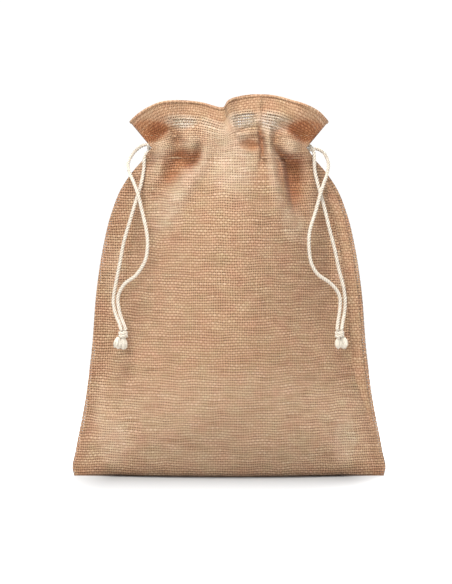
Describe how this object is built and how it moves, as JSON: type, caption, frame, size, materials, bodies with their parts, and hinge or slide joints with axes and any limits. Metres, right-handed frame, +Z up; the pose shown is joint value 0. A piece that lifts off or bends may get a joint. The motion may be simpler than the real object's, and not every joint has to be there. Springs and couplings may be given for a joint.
{
  "type": "drawstring gift pouch",
  "caption": "Jute gift pouch standing filled, with a ruffled mouth gathered by knotted cotton drawstrings that leave the neck on both sides.",
  "frame": {"origin": "middle of the base fold, on the surface that the pouch stands on", "axes": "+Z up through the mouth, front towards -Y, +X to the right seen from the front"},
  "size_m": [0.248, 0.0944, 0.303],
  "materials": {
    "jute_cloth": "coarse open plain weave, matt",
    "cotton_cord": "twisted three-ply, matt",
    "sewing_thread": "spun thread, matt"
  },
  "bodies": {
    "pouch": {"base_fold": "jute_cloth", "front_panel": "jute_cloth", "front_cord_tunnel": "jute_cloth", "back_panel": "jute_cloth", "back_cord_tunnel": "jute_cloth", "left_seam_allowance": "jute_cloth", "right_seam_allowance": "jute_cloth", "front_tunnel_upper_stitching": "sewing_thread", "front_tunnel_lower_stitching": "sewing_thread", "back_tunnel_upper_stitching": "sewing_thread", "back_tunnel_lower_stitching": "sewing_thread", "left_side_seam": "sewing_thread", "right_side_seam": "sewing_thread", "left_cord_far_bend": "cotton_cord", "right_cord_far_bend": "cotton_cord"},
    "front_lip": {"front_header": "jute_cloth", "front_top_hem": "jute_cloth", "front_hem_stitching": "sewing_thread"},
    "back_lip": {"back_header": "jute_cloth", "back_top_hem": "jute_cloth", "back_hem_stitching": "sewing_thread"},
    "left_cord": {"left_cord_front_run": "cotton_cord", "left_cord_back_run": "cotton_cord", "left_front_strand_upper": "cotton_cord", "left_back_strand_upper": "cotton_cord"},
    "right_cord": {"right_cord_front_run": "cotton_cord", "right_cord_back_run": "cotton_cord", "right_front_strand_upper": "cotton_cord", "right_back_strand_upper": "cotton_cord"},
    "left_tail": {"left_front_strand_lower": "cotton_cord", "left_back_strand_lower": "cotton_cord", "left_knot": "cotton_cord", "left_tassel_a": "cotton_cord", "left_tassel_b": "cotton_cord"},
    "right_tail": {"right_front_strand_lower": "cotton_cord", "right_back_strand_lower": "cotton_cord", "right_knot": "cotton_cord", "right_tassel_a": "cotton_cord", "right_tassel_b": "cotton_cord"}
  },
  "joints": [
    {"name": "front_lip_open", "type": "hinge", "parent": "pouch", "child": "front_lip", "pos_m": [0, -0.0125, 0.2704], "axis": [1, 0, 0], "range_deg": [0, 30]},
    {"name": "back_lip_open", "type": "hinge", "parent": "pouch", "child": "back_lip", "pos_m": [0, 0.0125, 0.2704], "axis": [-1, 0, 0], "range_deg": [0, 30]},
    {"name": "left_cord_pull", "type": "slide", "parent": "pouch", "child": "left_cord", "axis": [-1, 0, 0], "range_m": [0, 0.06]},
    {"name": "left_tail_lift", "type": "hinge", "parent": "left_cord", "child": "left_tail", "pos_m": [-0.0752, -0.014, 0.2298], "axis": [0, 1, 0], "range_deg": [0, 45]},
    {"name": "right_cord_pull", "type": "slide", "parent": "pouch", "child": "right_cord", "axis": [1, 0, 0], "range_m": [0, 0.06]},
    {"name": "right_tail_lift", "type": "hinge", "parent": "right_cord", "child": "right_tail", "pos_m": [0.0752, -0.014, 0.2298], "axis": [0, -1, 0], "range_deg": [0, 45]}
  ]
}
